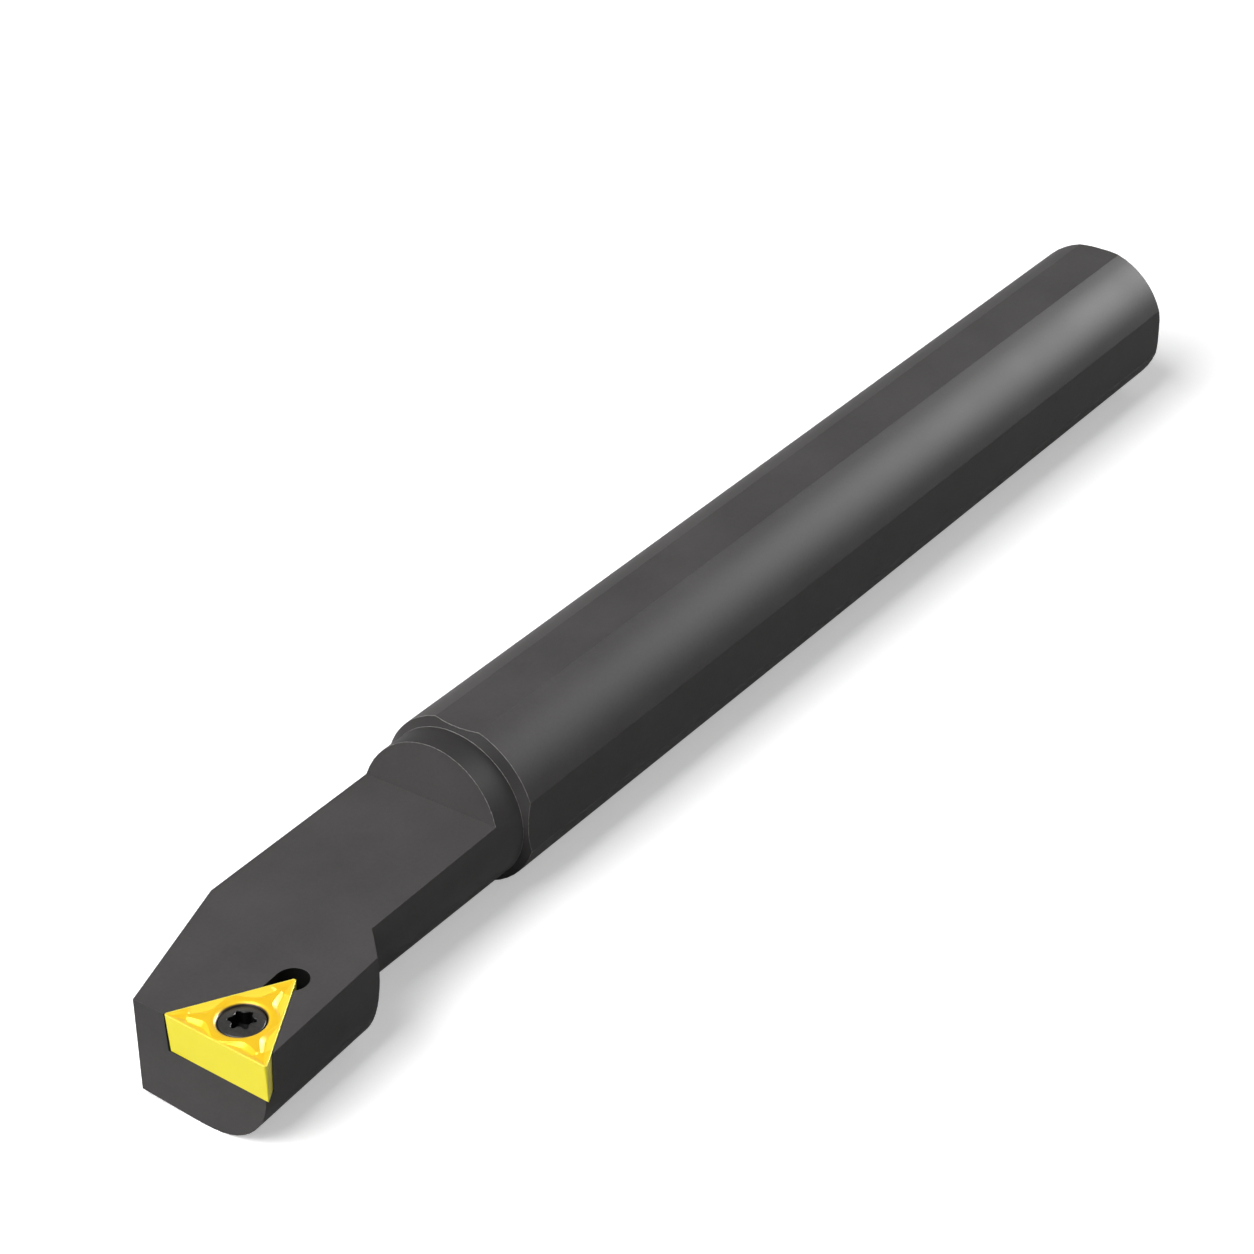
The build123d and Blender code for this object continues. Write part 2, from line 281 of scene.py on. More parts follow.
def add_node(tree, kind, settings=None, links=None):
    """Adds a node; settings are attributes or input values, links are (input, source socket)."""
    node = tree.nodes.new(kind)
    for key, value in (settings or {}).items():
        if isinstance(key, str) and hasattr(node, key):
            setattr(node, key, value)
        else:
            node.inputs[key].default_value = value
    for key, source in (links or {}).items():
        tree.links.new(source, node.inputs[key])
    return node


def new_material(name):
    """An empty node material and its tree."""
    material = bpy.data.materials.new(name)
    material.use_nodes = True
    material.node_tree.nodes.clear()
    return material, material.node_tree


def blackened_steel(oxide, worn_and_highlight, oily):
    """Ground alloy steel under a hot black oxide film: a dark satin with faint cloudy patches.

    The oxide is thin, so the turned edges lose it to lighter steel, unevenly, and that pale
    steel also stands for a painted highlight. Painted shade makes the pocket nearly black and
    lies more lightly round the collar.
    """
    material, tree = new_material("blackened_steel")
    place = add_node(tree, "ShaderNodeTexCoord").outputs["Object"]
    clouds = add_node(tree, "ShaderNodeTexNoise",
                      {"Scale": 1 / (CLOUD * MM), "Detail": 3.0, "Roughness": 0.55}, {"Vector": place})
    speckle = add_node(tree, "ShaderNodeTexNoise", {"Scale": 1 / (SPECKLE * MM), "Detail": 2.0},
                       {"Vector": place})
    depth = add_node(tree, "ShaderNodeMix", {"data_type": "FLOAT", 0: 0.25},
                     {2: clouds.outputs["Fac"], 3: speckle.outputs["Fac"]})
    base = linear(oxide)
    tone = add_node(tree, "ShaderNodeValToRGB", links={"Fac": depth.outputs[0]})
    for stop, position, strength in zip(tone.color_ramp.elements, (0.3, 0.7), (0.86, 1.14)):
        stop.position = position
        stop.color = [c * strength for c in base[:3]] + [1.0]
    # Bare steel and painted highlight on the broken edges, patchy.
    edge = add_node(tree, "ShaderNodeAttribute", {"attribute_name": "edge_wear_and_highlight"})
    patchy = add_node(tree, "ShaderNodeMapRange", {"From Min": 0.3, "From Max": 0.6, "To Min": 0.35},
                      {"Value": speckle.outputs["Fac"]})
    wear_and_highlight_amount = add_node(tree, "ShaderNodeMath", {"operation": "MULTIPLY"},
                      {0: edge.outputs["Fac"], 1: patchy.outputs["Result"]})
    bright = add_node(tree, "ShaderNodeMix", {"data_type": "RGBA", 7: linear(worn_and_highlight)},
                      {0: wear_and_highlight_amount.outputs[0], 6: tone.outputs["Color"]})
    # Painted shade: nearly black in the pocket, lighter on the collar.
    inside = add_node(tree, "ShaderNodeAttribute", {"attribute_name": "oily_corner"})
    colours = add_node(tree, "ShaderNodeMix", {"data_type": "RGBA", 7: linear(oily)},
                       {0: inside.outputs["Fac"], 6: bright.outputs[2]})
    rough = add_node(tree, "ShaderNodeMapRange", {"To Min": 0.44, "To Max": 0.56},
                     {"Value": clouds.outputs["Fac"]})
    bump = add_node(tree, "ShaderNodeBump", {"Strength": 0.1, "Distance": 0.01 * MM},
                    {"Height": speckle.outputs["Fac"]})
    shader = add_node(tree, "ShaderNodeBsdfPrincipled", {"Metallic": 0.0, "Specular IOR Level": 0.07},
                      {"Base Color": colours.outputs[2], "Roughness": rough.outputs["Result"],
                       "Normal": bump.outputs["Normal"]})
    add_node(tree, "ShaderNodeOutputMaterial", links={"Surface": shader.outputs["BSDF"]})
    return material


def coated_carbide(pressed, ground, honed_highlight, oily):
    """Sintered carbide under a vapour-deposited nitride: a clear warm yellow, finely pebbled.

    The pressed top is the deepest in colour and the ground flanks are paler and smoother. A
    painted highlight makes the cutting edge's hone the brightest and pales the grooves' outer
    slopes, and painted shade darkens the countersink round the screw's head.
    """
    material, tree = new_material("coated_carbide")
    source = add_node(tree, "ShaderNodeTexCoord")
    place = source.outputs["Object"]
    mottle = add_node(tree, "ShaderNodeTexNoise", {"Scale": 1 / (MOTTLE * MM), "Detail": 3.0},
                      {"Vector": place})
    pebbles = add_node(tree, "ShaderNodeTexNoise", {"Scale": 1 / (PEBBLE * MM), "Detail": 2.0},
                       {"Vector": place})
    facing = add_node(tree, "ShaderNodeSeparateXYZ", links={0: source.outputs["Normal"]})
    upward = add_node(tree, "ShaderNodeMapRange", {"From Min": 0.1, "From Max": 0.4},
                      {"Value": facing.outputs["Z"]})
    body = add_node(tree, "ShaderNodeMix", {"data_type": "RGBA", 6: linear(ground), 7: linear(pressed)},
                    {0: upward.outputs["Result"]})
    shade = add_node(tree, "ShaderNodeMapRange", {"From Min": 0.3, "From Max": 0.7, "To Max": 0.12},
                     {"Value": mottle.outputs["Fac"]})
    varied = add_node(tree, "ShaderNodeMix", {"data_type": "RGBA", 7: linear(honed_highlight)},
                      {0: shade.outputs["Result"], 6: body.outputs[2]})
    # Painted highlight on the hone, the land's edge and the grooves' outer slopes.
    edge = add_node(tree, "ShaderNodeAttribute", {"attribute_name": "edge_hone"})
    crisp = add_node(tree, "ShaderNodeMix", {"data_type": "RGBA", 7: linear(honed_highlight)},
                     {0: edge.outputs["Fac"], 6: varied.outputs[2]})
    # Painted shade in the countersink round the screw's head.
    inside = add_node(tree, "ShaderNodeAttribute", {"attribute_name": "oily_corner"})
    colours = add_node(tree, "ShaderNodeMix", {"data_type": "RGBA", 7: linear(oily)},
                       {0: inside.outputs["Fac"], 6: crisp.outputs[2]})
    rough = add_node(tree, "ShaderNodeMapRange", {"To Min": 0.34, "To Max": 0.42},
                     {"Value": mottle.outputs["Fac"]})
    bump = add_node(tree, "ShaderNodeBump", {"Strength": 0.03, "Distance": 0.01 * MM},
                    {"Height": pebbles.outputs["Fac"]})
    shader = add_node(tree, "ShaderNodeBsdfPrincipled", {"Metallic": 0.2},
                      {"Base Color": colours.outputs[2], "Roughness": rough.outputs["Result"],
                       "Normal": bump.outputs["Normal"]})
    add_node(tree, "ShaderNodeOutputMaterial", links={"Surface": shader.outputs["BSDF"]})
    return material


def screw_steel(steel, oily):
    """Hardened screw steel, quenched in oil: nearly black, with a soft sheen and painted shade in the
    socket.
    """
    material, tree = new_material("screw_steel")
    place = add_node(tree, "ShaderNodeTexCoord").outputs["Object"]
    scale = add_node(tree, "ShaderNodeTexNoise", {"Scale": 1 / (SCALE_FILM * MM), "Detail": 3.0},
                     {"Vector": place})
    base = linear(steel)
    tone = add_node(tree, "ShaderNodeValToRGB", links={"Fac": scale.outputs["Fac"]})
    for stop, position, strength in zip(tone.color_ramp.elements, (0.3, 0.7), (0.8, 1.2)):
        stop.position = position
        stop.color = [c * strength for c in base[:3]] + [1.0]
    # Painted shade in the socket.
    inside = add_node(tree, "ShaderNodeAttribute", {"attribute_name": "oily_corner"})
    colours = add_node(tree, "ShaderNodeMix", {"data_type": "RGBA", 7: linear(oily)},
                       {0: inside.outputs["Fac"], 6: tone.outputs["Color"]})
    rough = add_node(tree, "ShaderNodeMapRange", {"To Min": 0.3, "To Max": 0.42},
                     {"Value": scale.outputs["Fac"]})
    bump = add_node(tree, "ShaderNodeBump", {"Strength": 0.1, "Distance": 0.01 * MM},
                    {"Height": scale.outputs["Fac"]})
    shader = add_node(tree, "ShaderNodeBsdfPrincipled", {"Metallic": 0.3},
                      {"Base Color": colours.outputs[2], "Roughness": rough.outputs["Result"],
                       "Normal": bump.outputs["Normal"]})
    add_node(tree, "ShaderNodeOutputMaterial", links={"Surface": shader.outputs["BSDF"]})
    return material


def assign(piece, material):
    """Gives a piece one material."""
    piece.data.materials.clear()
    piece.data.materials.append(material)


# ---- Shapes ------------------------------------------------------------------

def seat_frame(seat, insert):
    """Frame of the pocket's floor: centred on the insert, X towards its inner corner."""
    along = Vector((cos(seat.face_slope), 0, -sin(seat.face_slope)))
    across = Vector((0, 1, 0))
    up = along.cross(across)
    lead = seat.edge_lead
    to_side = insert.inscribed_circle / 2
    half_edge = insert.inscribed_circle * cos(radians(30))
    tip_x = (seat.overall_length - seat.face_start) / cos(seat.face_slope)
    centre = (Vector((seat.face_start, 0, seat.face_height))
              + along * (tip_x - to_side * cos(lead) - half_edge * sin(lead))
              + across * (seat.tip_offset + to_side * sin(lead) - half_edge * cos(lead))
              + up * (seat.insert_proud - insert.thickness))
    inward = across * sin(lead) - along * cos(lead)
    frame_axes = Matrix((inward, up.cross(inward), up)).transposed()
    return Matrix.Translation(centre) @ frame_axes.to_4x4()


def mesh_of_rows(name, rows, **weights):
    """Mesh of quads between rows of points; each list of weights is kept as a point attribute."""
    across = len(rows[0])
    faces = []
    for low in range(len(rows) - 1):
        for left in range(across - 1):
            corner = low * across + left
            faces.append((corner, corner + 1, corner + across + 1, corner + across))
    mesh = bpy.data.meshes.new(name)
    mesh.from_pydata([point for row in rows for point in row], [], faces)
    for attribute, values in weights.items():
        layer = mesh.attributes.new(attribute, "FLOAT", "POINT")
        layer.data.foreach_set("value", values)
    return mesh


def repeat_tree(name):
    """Geometry Nodes that turn copies of a sector about Z, join them and close the seams."""
    tree = bpy.data.node_groups.new(name, "GeometryNodeTree")
    face = tree.interface
    inputs = {"Sector": "Geometry", "Count": "Int", "Seam": "Float", "Material": "Material"}
    for label, kind in inputs.items():
        face.new_socket(label, in_out="INPUT", socket_type="NodeSocket" + kind)
    face.new_socket("Geometry", in_out="OUTPUT", socket_type="NodeSocketGeometry")
    source = add_node(tree, "NodeGroupInput").outputs
    centres = add_node(tree, "GeometryNodeMeshLine",
                       {"mode": "OFFSET", "Start Location": (0, 0, 0), "Offset": (0, 0, 0)},
                       {"Count": source["Count"]})
    index = add_node(tree, "GeometryNodeInputIndex")
    step = add_node(tree, "ShaderNodeMath", {"operation": "DIVIDE", 0: 2 * pi}, {1: source["Count"]})
    turn = add_node(tree, "ShaderNodeMath", {"operation": "MULTIPLY"},
                    {0: index.outputs[0], 1: step.outputs[0]})
    around = add_node(tree, "ShaderNodeCombineXYZ", links={"Z": turn.outputs[0]})
    copies = add_node(tree, "GeometryNodeInstanceOnPoints",
                      links={"Points": centres.outputs["Mesh"], "Instance": source["Sector"],
                             "Rotation": around.outputs[0]})
    real = add_node(tree, "GeometryNodeRealizeInstances", links={"Geometry": copies.outputs[0]})
    joined = add_node(tree, "GeometryNodeMergeByDistance",
                      links={"Geometry": real.outputs[0], "Distance": source["Seam"]})
    painted = add_node(tree, "GeometryNodeSetMaterial",
                       links={"Geometry": joined.outputs[0], "Material": source["Material"]})
    add_node(tree, "NodeGroupOutput", links={"Geometry": painted.outputs[0]})
    return tree


def repeat_sector(sector, count, material):
    """Plain mesh of a sector that goes round the Z axis count times."""
    maker = bpy.data.objects.new("maker", sector)
    bpy.context.scene.collection.objects.link(maker)
    tree = repeat_tree("repeat_" + sector.name)
    modifier = maker.modifiers.new("repeat", "NODES")
    modifier.node_group = tree
    values = {"Count": count, "Seam": SEAM, "Material": material}
    for item in tree.interface.items_tree:
        if item.name in values:
            modifier[item.identifier] = values[item.name]
    ready = maker.evaluated_get(bpy.context.evaluated_depsgraph_get())
    mesh = bpy.data.meshes.new_from_object(ready)
    bpy.data.objects.remove(maker)
    return mesh


def add_piece(name, mesh, material, node):
    """Makes a mesh the visible piece that stands for a CAD node."""
    piece = bpy.data.objects.new(name, mesh)
    bpy.context.scene.collection.objects.link(piece)
    assign(piece, material)
    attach(piece, BODY)
    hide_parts(node)


def close_mesh(mesh):
    """Joins a mesh's seams, turns its faces outward and shades it smooth up to its sharp edges."""
    shape = bmesh.new()
    shape.from_mesh(mesh)
    bmesh.ops.remove_doubles(shape, verts=shape.verts, dist=SEAM)
    bmesh.ops.dissolve_degenerate(shape, edges=shape.edges, dist=SEAM)
    bmesh.ops.recalc_face_normals(shape, faces=shape.faces)
    if shape.calc_volume(signed=True) < 0:
        bmesh.ops.reverse_faces(shape, faces=shape.faces)
    shape.to_mesh(mesh)
    shape.free()
    mesh.shade_smooth()
    mesh.set_sharp_from_angle(angle=SHARP)


def side_columns(insert):
    """Half of the outline's columns: (centre of the round that passes there, outward normal)."""
    nose_centre = insert.inscribed_circle - 2 * insert.nose_radius
    side = insert.inscribed_circle / 2 - insert.nose_radius
    facing = radians(60)
    normal = Vector((cos(facing), sin(facing)))
    middle = normal * side
    corner = Vector((nose_centre, 0))
    columns = [(middle.lerp(corner, i / SIDE_COLUMNS), normal) for i in range(SIDE_COLUMNS)]
    for i in range(NOSE_COLUMNS + 1):
        turn = facing * (1 - i / NOSE_COLUMNS)
        columns.append((corner, Vector((cos(turn), sin(turn)))))
    return columns


def smooth_step(low, high, value):
    """0 below low, 1 above high, with a smooth climb between."""
    x = min(max((value - low) / (high - low), 0.0), 1.0)
    return x * x * (3 - 2 * x)


def chip_breaker(insert, x, y):
    """Height of the insert's top against its edges, and the strength of the painted highlight on its
    outer slopes.

    The place is in a sector whose corner is on +X.
    """
    y = abs(y)
    side = insert.inscribed_circle / 2
    from_edge = side - (x * cos(radians(60)) + y * sin(radians(60)))
    from_middle = x * sin(radians(60)) - y * cos(radians(60))
    from_corner = insert.inscribed_circle - x

    # The two grooves of a side start at its middle, widen quickly and then narrow to the corner.
    if from_middle < insert.groove_widest:
        spread = smooth_step(insert.groove_start, insert.groove_widest, from_middle)
        deep = spread ** GROOVE_RISE
    else:
        run = (from_middle - insert.groove_widest) / (insert.groove_end - insert.groove_widest)
        spread = max(1 - run ** GROOVE_TAPER, 0.0)
        deep = spread
    width = (insert.groove_width - insert.land) * spread
    height = 0.0
    slope_highlight = 0.0
    if width > 0:
        inward = (from_edge - insert.land) / width
        if 0 < inward < 1:
            if inward < GROOVE_LOWEST:
                down = inward / GROOVE_LOWEST
            else:
                down = (1 - inward) / (1 - GROOVE_LOWEST)
            brim = sqrt(1 + GROOVE_FLOOR**2)
            bottom = sqrt((1 - down)**2 + GROOVE_FLOOR**2)
            height = -insert.groove_depth * deep * (brim - bottom) / (brim - GROOVE_FLOOR)
            # Painted highlight on the outer slope, which fades out about the groove's deepest line.
            before, past = SLOPE_HIGHLIGHT_FADE
            outer = smooth_step(GROOVE_LOWEST + past, GROOVE_LOWEST - before, inward)
            slope_highlight = insert.slope_highlight * min(1.0, spread / SLOPE_HIGHLIGHT_FULL) * outer

    # Behind each corner the grooves run together in a pointed bowl with a flat floor.
    floor_edge = BOWL_FLOOR + BOWL_SPREAD * max(from_corner - BOWL_START, 0.0)
    slope = (from_edge - insert.land) / (floor_edge - insert.land)
    bowl = -insert.bowl_depth * smooth_step(0.0, 1.0, slope)
    past, before = BOWL_BLEND
    inside = smooth_step(insert.bowl_length + past, insert.bowl_length - before, from_corner)
    height += (bowl - height) * inside

    # A small ridge stands across the end of the bowl.
    ridge = ((from_corner - insert.bowl_length) / RIDGE[0])**2 + (y / RIDGE[1])**2
    return height + insert.ridge_height * exp(-ridge), slope_highlight * (1 - inside)


def make_insert(insert, material):
    """The whole insert as one closed mesh, in the frame of its seat."""
    half = side_columns(insert)
    columns = [(Vector((p.x, -p.y)), Vector((n.x, -n.y))) for p, n in half]
    columns += list(reversed(half[:-1]))
    land_end = [p + n * (insert.nose_radius - insert.land) for p, n in columns]
    top = insert.thickness

    def outline(inset, height):
        return [(*(p + n * (insert.nose_radius - inset)), height) for p, n in columns]

    def ring(radius, height):
        return [(*(p.normalized() * radius), height) for p in land_end]

    def flank(drop):
        return outline(drop * tan(insert.relief), top - drop)

    # Up through the hole and the countersink, and over its roll.
    half_angle = insert.countersink_angle / 2
    hole = insert.hole / 2
    rim = insert.countersink / 2
    roll_turn = radians(90) - half_angle
    roll_centre = rim + insert.rim_radius * tan(roll_turn / 2)
    rows = [ring(hole, 0.0), ring(hole, top - (rim - hole) / tan(half_angle))]
    # Painted shade in the hole and the countersink, which runs out over the roll.
    oily = [1.0] * len(rows) * len(columns)
    for i in range(ROLL_ROWS + 1):
        turn = roll_turn * (1 - i / ROLL_ROWS)
        oily += [1 - smooth_step(*PAINTED_SHADE_ROWS, i)] * len(columns)
        rows.append(ring(roll_centre - insert.rim_radius * sin(turn),
                         top - insert.rim_radius * (1 - cos(turn))))
    # These hone weights carry painted highlight: on the grooves' outer slopes, the land's edge and the
    # hone.
    hone = [0.0] * len(rows) * len(columns)

    # Across the top to the land, with painted highlight on the grooves' outer slopes and part of it on
    # the land's edge.
    for i in range(1, TOP_ROWS + 1):
        row = []
        for point in land_end:
            start = point.normalized() * roll_centre
            place = start.lerp(point, i / TOP_ROWS)
            rise, slope_highlight = chip_breaker(insert, place.x, place.y)
            row.append((*place, top + rise))
            hone.append(slope_highlight if i < TOP_ROWS else LAND_HIGHLIGHT)
        rows.append(row)

    # Round the honed edge, down the flank and in under the seat.
    honed_start = len(rows)
    for i in range(HONE_ROWS + 1):
        turn = (radians(90) - insert.relief) * i / HONE_ROWS
        drop = insert.hone * (1 - cos(turn))
        inset = insert.hone * (1 - sin(turn)) + drop * tan(insert.relief)
        rows.append(outline(inset, top - drop))
    # Painted highlight over the hone.
    hone += [1.0] * (len(rows) - honed_start) * len(columns)
    rows += [flank(insert.hone * 1.5), flank(top / 2), flank(top), ring(hole, 0.0)]
    points = len(rows) * len(columns)
    hone += [0.0] * (points - len(hone))
    oily += [0.0] * (points - len(oily))
    sector = mesh_of_rows("insert_sector", rows, edge_hone=hone, oily_corner=oily)
    return repeat_sector(sector, 3, material)


def socket_columns(screw):
    """Points and outward normals along a sixth of the socket's outline, lobe in the middle."""
    lobe_centre = screw.across_lobes / 2 - screw.lobe_radius
    flute = screw.across_flutes / 2
    lean = cos(radians(30))
    flute_radius = ((lobe_centre**2 + flute**2 - 2 * lobe_centre * flute * lean - screw.lobe_radius**2)
                    / (2 * (screw.lobe_radius - flute + lobe_centre * lean)))
    lobe = Vector((lobe_centre, 0))
    bulge = Vector((cos(radians(30)), sin(radians(30)))) * (flute + flute_radius)
    joint_turn = atan2(bulge.y, bulge.x - lobe.x)
    half = []
    for i in range(LOBE_COLUMNS + 1):
        turn = joint_turn * i / LOBE_COLUMNS
        normal = Vector((cos(turn), sin(turn)))
        half.append((lobe + normal * screw.lobe_radius, normal))
    first, last = joint_turn + pi, radians(30) + pi
    for i in range(1, FLUTE_COLUMNS + 1):
        turn = first + (last - first) * i / FLUTE_COLUMNS
        towards = Vector((cos(turn), sin(turn)))
        half.append((bulge + towards * flute_radius, -towards))
    other = [(Vector((p.x, -p.y)), Vector((n.x, -n.y))) for p, n in reversed(half[1:])]
    return other + half


def make_screw(screw, insert, material):
    """The clamp screw as one closed mesh, in the frame of its seat."""
    slope = tan(insert.countersink_angle / 2)
    thread = screw.thread / 2
    head = screw.head / 2
    rim_low = insert.thickness - (insert.countersink / 2 - screw.clearance - head) / slope
    rim_high = rim_low + screw.head_rim
    cone_low = rim_low - (head - thread) / slope
    dome_radius = (head**2 + screw.dome**2) / (2 * screw.dome)
    dome_centre = rim_high + screw.dome - dome_radius
    floor = rim_high + screw.dome - screw.socket_depth
    columns = socket_columns(screw)

    def dome(radius):
        return dome_centre + sqrt(dome_radius**2 - radius**2)

    def ring(radius, height):
        return [(*(p.normalized() * radius), height) for p, n in columns]

    def outline(height):
        return [(*p, height) for p, n in columns]

    def mouth(grow, drop):
        return [(*(p + n * grow), dome((p + n * grow).length) - drop) for p, n in columns]

    # Up through the socket to its rounded mouth.
    ease = screw.mouth_round
    rows = [ring(0.0, floor - screw.socket_point), ring(screw.across_flutes / 2 * DRILL_SHARE, floor),
            outline(floor), outline((floor + rim_high) / 2), mouth(0.0, 2 * ease)]
    # Painted shade in the socket, up to its mouth.
    oily = [1.0] * len(rows) * len(columns)
    for i in range(HONE_ROWS + 1):
        turn = radians(90) * i / HONE_ROWS
        rows.append(mouth(ease * (1 - cos(turn)), ease * (1 - sin(turn))))

    # Across the dome, round the head and down its cone.
    roll = screw.head_round
    for i in range(1, FLUTE_COLUMNS + 1):
        row = []
        for p, n in columns:
            point = p + n * ease
            place = point.lerp(point.normalized() * (head - roll), i / FLUTE_COLUMNS)
            row.append((*place, dome(place.length)))
        rows.append(row)
    for i in range(1, HONE_ROWS + 1):
        turn = radians(90) * i / HONE_ROWS
        rows.append(ring(head - roll * (1 - sin(turn)), dome(head - roll) - roll * (1 - cos(turn))))
    rows += [ring(head, rim_low), ring(thread, cone_low)]
    oily += [0.0] * (len(rows) * len(columns) - len(oily))
    sector = mesh_of_rows("screw_sector", rows, oily_corner=oily)
    top = repeat_sector(sector, 6, material)

    around = [atan2(p.y, p.x) + radians(60) * k for k in range(6) for p, n in columns[:-1]]
    around.append(around[0] + 2 * pi)
    return join_meshes("clamp_screw_shape", top, thread_coil(screw, cone_low, around))


def thread_coil(screw, start, around):
    """Shank with a single-start thread, which fades in under the cone and out at the end."""
    thread = screw.thread / 2
    length = start + screw.reach
    steps = round(length / screw.pitch * COIL_STEPS)
    fade_in, fade_out = THREAD_FADE
    rows = []
    for i in range(steps + 1):
        height = start - length * i / steps
        to_end = steps - i
        fade = min(1.0, i / fade_in, to_end / fade_out)
        draw_in = screw.thread * THREAD_POINT * (1 - min(1.0, to_end / POINT_ROWS))
        row = []
        for turn in around:
            phase = (height / screw.pitch - turn / (2 * pi)) % 1.0
            flank = smooth_step(*THREAD_FLANK, min(phase, 1 - phase))
            radius = thread - max(screw.pitch * THREAD_DEPTH * fade * flank, draw_in)
            row.append((radius * cos(turn), radius * sin(turn), height))
        rows.append(row)
    rows.append([(0.0, 0.0, -screw.reach)] * len(around))
    return mesh_of_rows("coil", rows)


def join_meshes(name, *parts):
    """One mesh of several whose seams meet."""
    shape = bmesh.new()
    for part in parts:
        shape.from_mesh(part)
    mesh = bpy.data.meshes.new(name)
    shape.to_mesh(mesh)
    shape.free()
    return mesh


def plain_bar(bar, foot):
    """Copy of the CAD bar, as a bmesh, with its flat faces made whole.

    The tiny round at the foot of the wall is taken up into a plain corner.
    """
    shape = bmesh.new()
    shape.from_mesh(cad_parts["bar"].data)
    bmesh.ops.remove_doubles(shape, verts=shape.verts, dist=SETTLE)
    bmesh.ops.dissolve_limit(shape, angle_limit=FLAT, verts=shape.verts, edges=shape.edges)
    side = sqrt(bar.neck_radius**2 - foot.z**2)
    along, up = FOOT_REACH
    for vertex in shape.verts:
        away = vertex.co - foot
        if abs(away.x) < along and abs(away.z) < up and abs(away.y) > FOOT_SIDE:
            vertex.co = (foot.x, side if away.y > 0 else -side, foot.z)
    bmesh.ops.remove_doubles(shape, verts=shape.verts, dist=SETTLE)
    bmesh.ops.dissolve_degenerate(shape, edges=shape.edges, dist=SEAM)
    bmesh.ops.dissolve_limit(shape, angle_limit=FLAT, verts=shape.verts, edges=shape.edges)
    shape.normal_update()
    return shape


def break_edges(bar, shape, steel):
    """Mesh of the bar with its edges broken, the new faces in a material slot of their own.

    Inner corners stay as they are, apart from the collar's.
    """
    crease = shape.edges.layers.float.new("bevel_weight_edge")
    for edge in shape.edges:
        turn = edge.calc_face_angle_signed(0.0)
        place = (edge.verts[0].co.x + edge.verts[1].co.x) / 2
        turned = bar.collar_start < place < bar.collar_end
        if turned and abs(turn) > bar.crease:
            edge[crease] = 1.0
        elif turn > bar.crease:
            edge[crease] = bar.milled_break
        edge.smooth = abs(turn) < BAR_SHARP or edge[crease] > 0.0
    mesh = bpy.data.meshes.new("bar_shape")
    shape.to_mesh(mesh)
    shape.free()
    for face in mesh.polygons:
        face.use_smooth = True
    for _ in (PLAIN_FACES, BROKEN_EDGES):
        mesh.materials.append(steel)
    maker = bpy.data.objects.new("maker", mesh)
    bpy.context.scene.collection.objects.link(maker)
    bevel = maker.modifiers.new("edge_break", "BEVEL")
    bevel.width = bar.edge_break
    bevel.segments = 2
    bevel.limit_method = "WEIGHT"
    bevel.miter_outer = "MITER_ARC"
    bevel.material = BROKEN_EDGES
    weigh = maker.modifiers.new("weigh", "WEIGHTED_NORMAL")
    weigh.keep_sharp = True
    weigh.weight = 60
    ready = maker.evaluated_get(bpy.context.evaluated_depsgraph_get())
    mesh = bpy.data.meshes.new_from_object(ready)
    bpy.data.objects.remove(maker)
    return mesh


def mark_wear_and_highlight(bar, mesh):
    """Notes how far each broken edge is bared of oxide and lit by painted highlight: most of all at the
    collar and the back end.
    """
    wear_and_highlight = mesh.attributes.new("edge_wear_and_highlight", "FLOAT", "FACE")
    for face in mesh.polygons:
        if face.material_index == BROKEN_EDGES:
            place = face.center.x
            turned = bar.collar_start < place < bar.collar_end or place < 2 * bar.edge_break
            wear_and_highlight.data[face.index].value = bar.turned_wear_and_highlight if turned else bar.other_wear_and_highlight
            face.material_index = PLAIN_FACES
    mesh.materials.clear()


def mark_painted_shade(bar, seat, insert, mesh):
    """Notes where painted shade darkens the bar.

    It covers the pocket's floor and walls and the relief hole at its inner corner, and lies more
    lightly on top of the collar's chamfer and the start of the neck.
    """
    oily = mesh.attributes.new("oily_corner", "FLOAT", "CORNER")
    wear_and_highlight = mesh.attributes["edge_wear_and_highlight"]
    to_seat = seat_frame(seat, insert).inverted()
    for face in mesh.polygons:
        place = to_seat @ face.center
        facing = to_seat.to_3x3() @ face.normal
        out = Vector((place.x, place.y)).normalized()
        inward = facing.z > FLOOR_UPWARD or facing.x * out.x + facing.y * out.y < WALL_OUTWARD
        near = hypot(place.x, place.y) < bar.pocket_reach
        deep = PAINTED_SHADE_LOWEST < place.z < PAINTED_SHADE_HIGHEST * insert.thickness
        if near and inward and deep and facing.z > -FLOOR_UPWARD:
            for corner in face.loop_indices:
                oily.data[corner].value = 1.0
        by_collar = bar.collar_start < face.center.x < bar.collar_end
        low = hypot(face.center.y, face.center.z) < bar.collar_radius
        plain = face.normal.x < WALL_FORWARD and wear_and_highlight.data[face.index].value == 0.0
        if by_collar and low and plain:
            for corner in face.loop_indices:
                point = mesh.vertices[mesh.loops[corner].vertex_index].co
                upward = point.z / hypot(point.y, point.z)
                oily.data[corner].value = bar.collar_shade * smooth_step(*COLLAR_SHADE_UPWARD, upward)


def flatten_foot(mesh, foot):
    """Keeps the two faces that meet at the foot of the wall flat up to their corner."""
    normals = [corner.vector.copy() for corner in mesh.corner_normals]
    for face in mesh.polygons:
        ways = [mesh.vertices[index].co - foot for index in face.vertices]
        if sum(hypot(away.x, away.z) < SETTLE for away in ways) > 1:
            for corner in face.loop_indices:
                normals[corner] = face.normal.copy()
    mesh.normals_split_custom_set(normals)


